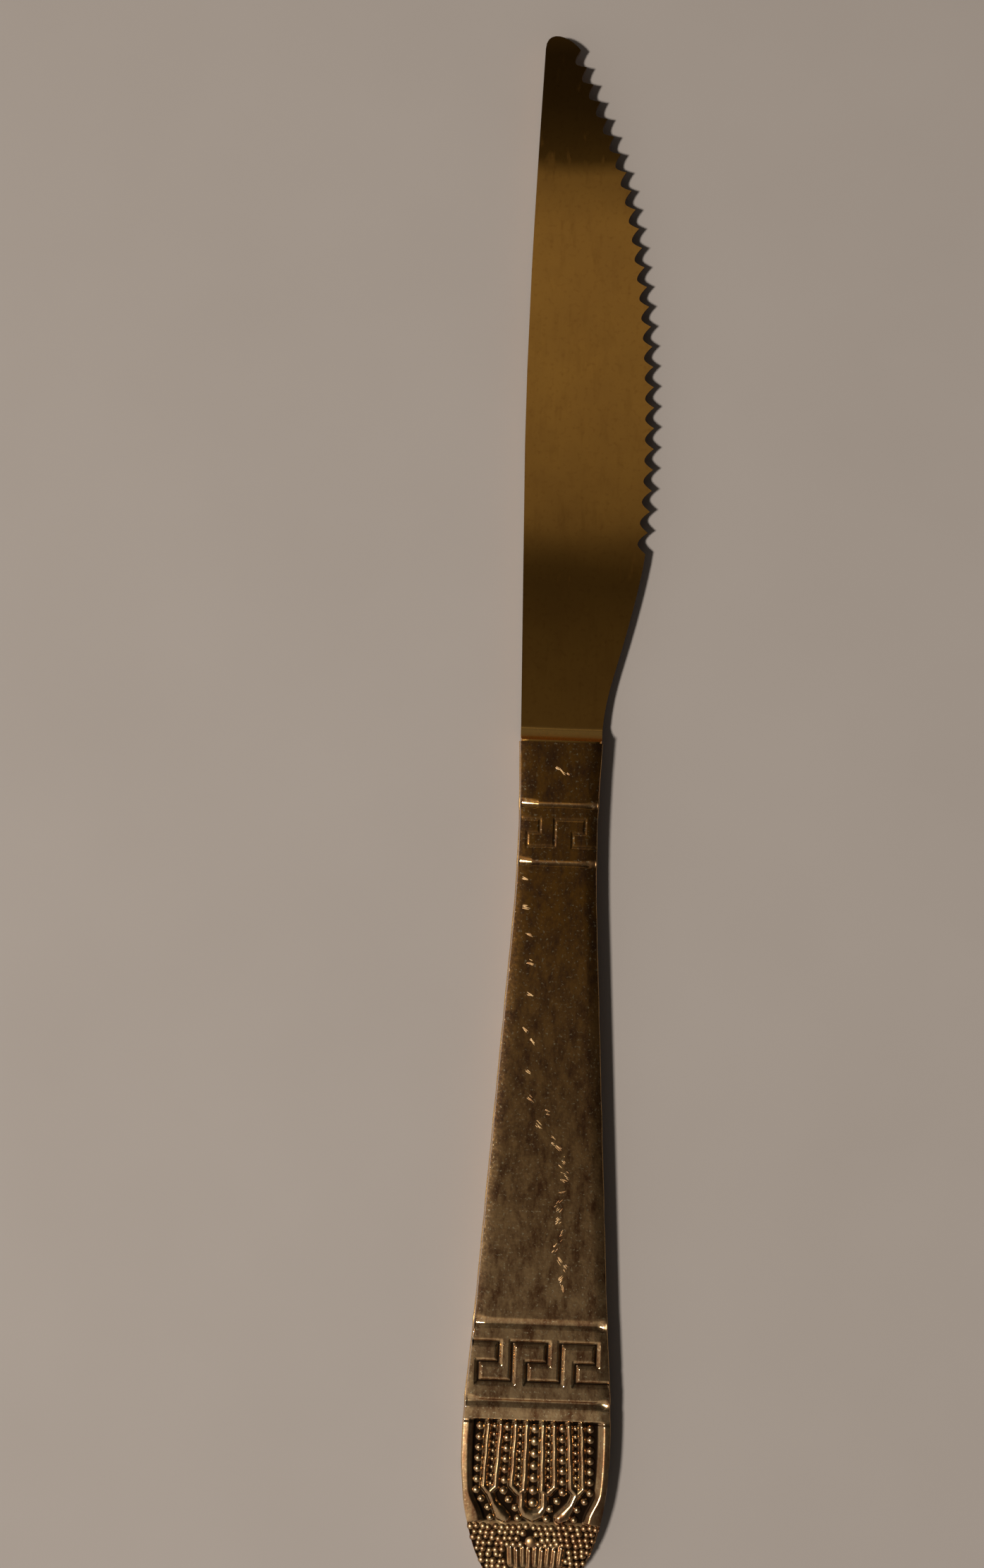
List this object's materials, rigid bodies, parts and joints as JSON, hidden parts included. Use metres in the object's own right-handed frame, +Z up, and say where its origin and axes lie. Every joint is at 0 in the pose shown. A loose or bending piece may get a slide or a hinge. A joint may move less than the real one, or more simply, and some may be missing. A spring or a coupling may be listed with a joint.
{
  "type": "table knife",
  "caption": "Gold-toned table knife with a serrated stamped blade and a hollow handle of two half shells struck with cordons, Greek key bands, ribs and beads.",
  "frame": {"origin": "on the table, under the middle of the handle's plain panel", "axes": "+Y along the knife to the blade's tip, +X to the cutting edge, +Z up from the table"},
  "size_m": [0.0222, 0.222, 0.0056],
  "materials": {
    "blade_gold": "gold-plated stainless steel, polished, with fine scratches",
    "handle_gold": "struck brass shells with worn gold plating, satin, darker in the hollows",
    "seam_gold": "filed braze, bright",
    "cement": "set filling compound, matt"
  },
  "bodies": {
    "root": {"blade": "blade_gold", "front_shell": "handle_gold", "back_shell": "handle_gold", "seam_braze": "seam_gold", "handle_filler": "cement"}
  },
  "joints": []
}
